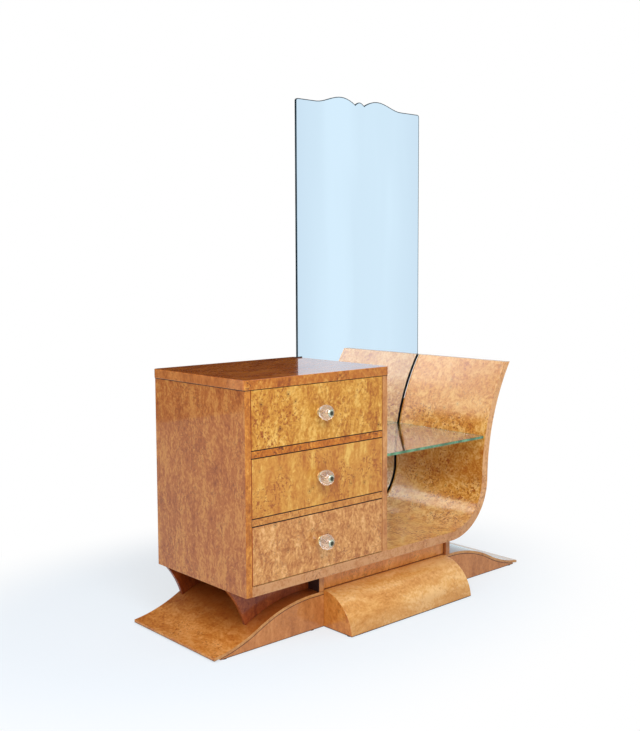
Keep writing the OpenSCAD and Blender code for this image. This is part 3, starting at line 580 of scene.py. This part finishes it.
def makeDrawerFronts(s):
    for level, burr in s["burr"].items():
        node = level + "_drawer_front"
        bm = mergedCopy(node)
        low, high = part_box(node)
        # only the show face's four edges are eased
        easeEdges(bm, s["ease"] * mm, 3, 40, lambda edge: all(abs(v.co.y - low.y) < 0.1 * mm for v in edge.verts))
        # painted shade and light: the eased edges and top and bottom faces are dark for the shadow in the gaps, the
        # sides red-orange for the lit reveals
        for face in bm.faces:
            if not looksAlong(face, front) and face.calc_center_median().y < high.y - mm:
                face.material_index = 1 if abs(face.normal.z) > abs(face.normal.x) else 2
        finishPiece(level + "DrawerFront", bm, [burr, "jointAndShadeDark", "litRevealRed"], level + "_drawer",
                    [node])


makeDrawerFronts(drawerFronts)
print("drawer fronts made")

# Curved board

board = {"node": "curved_board", "ease": 1.2, "bendX": 237, "waistZ": 328, "bendR": 157}


def makeBoard(s):
    # the veneer follows the curve: v runs along it, and u across
    bm = mergedCopy(s["node"])
    easeEdges(bm, s["ease"] * mm)
    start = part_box(s["node"])[0].x
    bendX, waistZ, bendR = s["bendX"] * mm, s["waistZ"] * mm, s["bendR"] * mm
    layer = bm.loops.layers.uv.new("along")
    for face in bm.faces:
        face.material_index = 1 if looksAlong(face, front, 0.7) else 0
        for loop in face.loops:
            x, y, z = loop.vert.co
            if z <= waistZ and x <= bendX:
                run = x - start
            elif z <= waistZ:
                run = bendX - start + atan2(x - bendX, waistZ - z) * bendR
            else:
                run = bendX - start + pi / 2 * bendR + z - waistZ
            loop[layer].uv = (y, run)
    finishPiece("curvedBoard", bm, ["boardBurr", "boardEdge"], "root", [s["node"]])


makeBoard(board)

# black strip beside the mirror's glass, the glass's dark edge and painted shadow of the gap, and a pale painted glint
# in front of it above a height
glassEdgeAndGapShade = {"deep": 2.5, "behind": 6.0, "thick": 1.0, "glintFrom": 540, "glintDeep": 1.8, "inwards": (-0.8, 0, 0.6)}


def makeInnerStrip(s, name, near, far, lowest, material):
    # a strip of the board's inner face between two depths, a little thickened
    bm = mergedCopy("curved_board")
    cutAcross(bm, (0, near, 0), front)
    cutAcross(bm, (0, far, 0), (0, 1, 0))
    cutAcross(bm, (0, 0, lowest), down)
    outside = [f for f in bm.faces if not looksAlong(f, s["inwards"], 0.3) or abs(f.normal.y) > 0.1
               or f.calc_center_median().x < 0]
    bmesh.ops.delete(bm, geom=outside, context="FACES")
    top = max(v.co.z for v in bm.verts)
    tip = [f for f in bm.faces if all(v.co.z > top - weld for v in f.verts)]
    bmesh.ops.delete(bm, geom=tip, context="FACES")
    bmesh.ops.solidify(bm, geom=bm.faces[:], thickness=-s["thick"] * mm)
    bmesh.ops.recalc_face_normals(bm, faces=bm.faces)
    finishPiece(name, bm, [material], "root")


def makeGapStrips(s):
    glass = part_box("mirror_glass")[0]
    near = glass.y - s["deep"] * mm
    makeInnerStrip(s, "glassEdgeAndGapShade", near, glass.y + s["behind"] * mm, glass.z, "edgeAndGapShadeBlack")
    makeInnerStrip(s, "glassGlint", near - s["glintDeep"] * mm, near, s["glintFrom"] * mm, "paintedGlintPale")


makeGapStrips(glassEdgeAndGapShade)
print("curved board made")

# Knobs: a clear ball on a chrome bolt with a domed head

knob = {
    "ballR": 20.5, "boreR": 2.7, "boltR": 2.5, "boltChamfer": 0.5, "collarR": 7.0, "collarL": 4.0, "collarRound": 0.3,
    "flangeR": 13.5, "flangeT": 2.0, "flangeRound": 0.7, "headR": 10.0, "headH": 3.8, "headGap": 0.4, "darkReflectionR": 6.0,
    "steps": 64, "weld": 0.005,
}


def turnedPiece(s, name, outline, centre, materials, body, replaced, darkReflectionR=0.0):
    # outline: radius and distance towards the front, turned about a knob's axis
    bm = bmesh.new()
    rim = [bm.verts.new((centre[0] + r * mm, centre[1] - y * mm, centre[2])) for r, y in outline]
    edges = [bm.edges.new(pair) for pair in zip(rim, rim[1:] + rim[:1])]
    bmesh.ops.spin(bm, geom=rim + edges, cent=centre, axis=(0, 1, 0), dvec=(0, 0, 0), angle=2 * pi,
                   steps=s["steps"], use_merge=True, use_normal_flip=False, use_duplicate=False)
    bmesh.ops.remove_doubles(bm, verts=bm.verts, dist=s["weld"] * mm)
    bmesh.ops.recalc_face_normals(bm, faces=bm.faces)
    for face in bm.faces:
        # the domed end has a darker centre, a painted reflection of a dark room
        away = face.calc_center_median() - Vector(centre)
        if looksAlong(face, front, 0.5) and Vector((away.x, 0, away.z)).length < darkReflectionR * mm:
            face.material_index = 1
    finishPiece(name, bm, materials, body, replaced, 25)


def arcPoints(cx, cy, r, start, end, count):
    return [(cx + r * cos(radians(start + (end - start) * i / count)),
             cy + r * sin(radians(start + (end - start) * i / count))) for i in range(count + 1)]


def makeKnobs(s):
    ballR, boreR, boltR, headR, headH = s["ballR"], s["boreR"], s["boltR"], s["headR"], s["headH"]
    # the ball's middle, and the angles from its axis at which the collar and the head end it
    middle = s["collarL"] + sqrt(ballR ** 2 - s["collarR"] ** 2)
    seat = atan2(s["collarR"], sqrt(ballR ** 2 - s["collarR"] ** 2))
    mouthR = headR + s["headGap"]
    nose = atan2(mouthR, sqrt(ballR ** 2 - mouthR ** 2))
    angles = [seat + (pi - nose - seat) * i / 40 for i in range(41)]
    ball = [(ballR * sin(t), middle - ballR * cos(t)) for t in angles]
    ball = [(boreR, ball[0][1]), *ball, (boreR, ball[-1][1])]
    # flange and collar in one turning
    r, lip = s["flangeRound"], s["collarRound"]
    collar = [(boreR, 0), (s["flangeR"], 0)]
    collar += arcPoints(s["flangeR"] - r, s["flangeT"] - r, r, 0, 90, 5)
    collar += arcPoints(s["collarR"] + r, s["flangeT"] + r, r, 270, 180, 4)
    collar += arcPoints(s["collarR"] - lip, s["collarL"] - lip, lip, 0, 90, 3)
    collar += [(boreR, s["collarL"])]
    # the bolt's domed head
    head = middle + ballR * cos(nose)
    domeR = (headR ** 2 + headH ** 2) / (2 * headH)
    sweep = 90 - atan2(headR, domeR - headH) * 180 / pi
    dome = arcPoints(0, head + headH - domeR, domeR, sweep, 90, 14)
    for level in ("upper", "middle", "lower"):
        body, node = level + "_drawer", level + "_knob"
        low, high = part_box(node + "_ball")
        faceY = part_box(level + "_drawer_front")[0][1]
        centre = ((low[0] + high[0]) / 2, faceY, (low[2] + high[2]) / 2)
        turnedPiece(s, level + "KnobBall", ball, centre, ["resin"], body, [node + "_ball"])
        turnedPiece(s, level + "KnobCollar", collar, centre, ["chromeWoodReflection"], body, [node + "_collar"])
        tail = (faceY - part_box(node + "_bolt")[1][1]) / mm
        bolt = [(0, tail), (boltR - s["boltChamfer"], tail), (boltR, tail + s["boltChamfer"]), (boltR, head), *dome]
        turnedPiece(s, level + "KnobBolt", bolt, centre, ["chrome", "chromeDarkReflection"], body, [node + "_bolt"],
                    s["darkReflectionR"])


makeKnobs(knob)
print("knobs turned")

# Mirror

mirror = {"node": "mirror_glass", "rim": 2.4}


def makeMirror(s):
    bm = mergedCopy(s["node"])
    for face in bm.faces:
        face.material_index = 1
    shown = max((f for f in bm.faces if looksAlong(f, front)), key=lambda f: f.calc_area())
    bmesh.ops.inset_region(bm, faces=[shown], thickness=s["rim"] * mm, use_even_offset=True, use_boundary=True)
    shown.material_index = 0
    finishPiece("mirrorGlass", bm, ["silvered", "glassRim"], "root", [s["node"]], 5)


makeMirror(mirror)
print("mirror made")

# Glass shelf

shelf = {"node": "glass_shelf", "ease": 1.2}


def makeShelf(s):
    bm = mergedCopy(s["node"])
    easeEdges(bm, s["ease"] * mm)
    for face in bm.faces:
        face.material_index = 0 if abs(face.normal.z) > 0.9 else 1
    finishPiece("glassShelf", bm, ["shelfGlass", "shelfEdge"], "root", [s["node"]])


makeShelf(shelf)
print("shelf made")

# CAD nodes that stay get their finish by slot

slotFinish = {
    "front_burr": "railBurr", "side_veneer": "sideVeneer", "drawer_wood": "drawerWood", "plywood": "plywood",
    "chrome": "chrome", "steel": "steel", "black_paint": "blackPaint", "plinth_sides": "plinthSide", "felt": "felt",
    "top_veneer": "topVeneer", "pale_burr": "paleBurr", "plinth_burr": "plinthBurr", "mahogany": "mahogany",
    "clear_resin": "resin", "shelf_glass": "shelfGlass", "silvered_glass": "silvered",
}


def dressNodes():
    slots = {part["node"]: part["material_slot"] for part in frame["record"]["subparts"]}
    for name, node in nodes.items():
        node.data.materials.clear()
        node.data.materials.append(finishes[slotFinish[slots[name]]])


dressNodes()
print("remaining nodes dressed")

# Floor, world and lamps

studio = {
    "floor": "#d8ecff", "floorSize": 16, "lift": 0.62, "ambient": 0.45, "shown": "#e5f8ff",
    "fadeShape": (0.6, 0.9, 1), "fadeMiddle": (-0.25, 0.2), "fadeFrom": 0.4, "fadeTo": 0.85,
    "flagTint": "#241d19",
    "flags": [
        # name, centre, width and height
        ("backFlag", (0.075, 3.2, 1.2), (6.75, 3.4)),
    ],
    "shining": ("keyLamp", "leftLamp"),
    "aim": (0, 0, 0.6),
    "lamps": [
        # name, place, size, power; the shining ones show in polished faces
        ("keyLamp", (-1.2, -3.0, 3.3), 2.0, 68),
        ("leftLamp", (-2.5, -2.5, 2.1), 2.4, 44),
        ("sideLamp", (-3.2, -0.5, 2.9), 2.4, 30),
        ("fillLamp", (3.0, -2.2, 2.2), 2.4, 14),
    ],
}


def stagePiece(name, bm, material):
    mesh = bpy.data.meshes.new(name)
    bm.to_mesh(mesh)
    bm.free()
    mesh.materials.append(material)
    piece = bpy.data.objects.new(name, mesh)
    scene.collection.objects.link(piece)
    return piece


def pathShare(kit, shown):
    # 1 for what the camera sees, also in metal and through glass, and the background's colour there
    path = kit.node("LightPath")
    glossy, through = [Wire(kit, path.socket.node.outputs[n]) for n in ("Is Glossy Ray", "Is Transmission Ray")]
    share = kit.sum("MAXIMUM", path, kit.sum("MAXIMUM", glossy, through))
    return share, kit.mix(glossy, (1, 1, 1, 1), colour(shown))


def makeWorld(s):
    world = bpy.data.worlds.new("studio")
    scene.world = world
    world.use_nodes = True
    kit = NodeKit(world.node_tree)
    share, tint = pathShare(kit, s["shown"])
    plain = kit.node("Background", None, {"Color": tint, "Strength": 1.0})
    soft = kit.node("Background", None, {"Color": (1, 1, 1, 1), "Strength": s["ambient"]})
    kit.node("OutputWorld", None, {"Surface": kit.node("MixShader", None, {0: share, 1: soft, 2: plain})})


def makeFloor(s):
    # it brightens to white away from the object, and keeps the object's shadow
    material, kit = newMaterial("floorWhite")
    x, y = s["fadeMiddle"]
    away = kit.vector("LENGTH", kit.stretched(kit.place(shift=(-x, -y, 0)), s["fadeShape"]), output=1)
    matt = kit.node("BsdfPrincipled", None,
                    {"Base Color": colour(s["floor"]), "Roughness": 0.8, "Specular IOR Level": 0.05})
    share, tint = pathShare(kit, s["shown"])
    glow = kit.node("Emission", None, {"Color": tint, "Strength": 1.0})
    fade = (s["lift"] + kit.step(away, s["fadeFrom"], s["fadeTo"]) * (1 - s["lift"])) * share
    kit.node("OutputMaterial", None, {"Surface": kit.node("MixShader", None, {0: fade, 1: matt, 2: glow})})
    bm = bmesh.new()
    bmesh.ops.create_grid(bm, x_segments=8, y_segments=8, size=s["floorSize"] / 2)
    stagePiece("floor", bm, material)


def makeFlags(s):
    # dark boards far off, which only polished faces show
    sockets = {"Base Color": colour(s["flagTint"]), "Roughness": 0.9, "Specular IOR Level": 0.0}
    material = newFinish("flagDark", lambda kit: sockets)
    for name, centre, size in s["flags"]:
        bm = bmesh.new()
        bmesh.ops.create_grid(bm, x_segments=1, y_segments=1, size=0.5)
        bmesh.ops.scale(bm, vec=(*size, 1), verts=bm.verts)
        bmesh.ops.rotate(bm, matrix=Matrix.Rotation(pi / 2, 3, "X"), verts=bm.verts)
        bmesh.ops.translate(bm, vec=centre, verts=bm.verts)
        flag = stagePiece(name, bm, material)
        flag.visible_camera = flag.visible_diffuse = flag.visible_transmission = flag.visible_shadow = False


def makeLamps(s):
    for name, place, size, power in s["lamps"]:
        data = bpy.data.lights.new(name, "AREA")
        data.shape, data.size, data.energy = "DISK", size, power
        lamp = bpy.data.objects.new(name, data)
        lamp.location = place
        lamp.rotation_euler = (Vector(s["aim"]) - Vector(place)).to_track_quat("-Z", "Y").to_euler()
        lamp.visible_glossy = lamp.visible_transmission = name in s["shining"]
        scene.collection.objects.link(lamp)


makeWorld(studio)
makeFloor(studio)
makeFlags(studio)
makeLamps(studio)
print("studio lit")
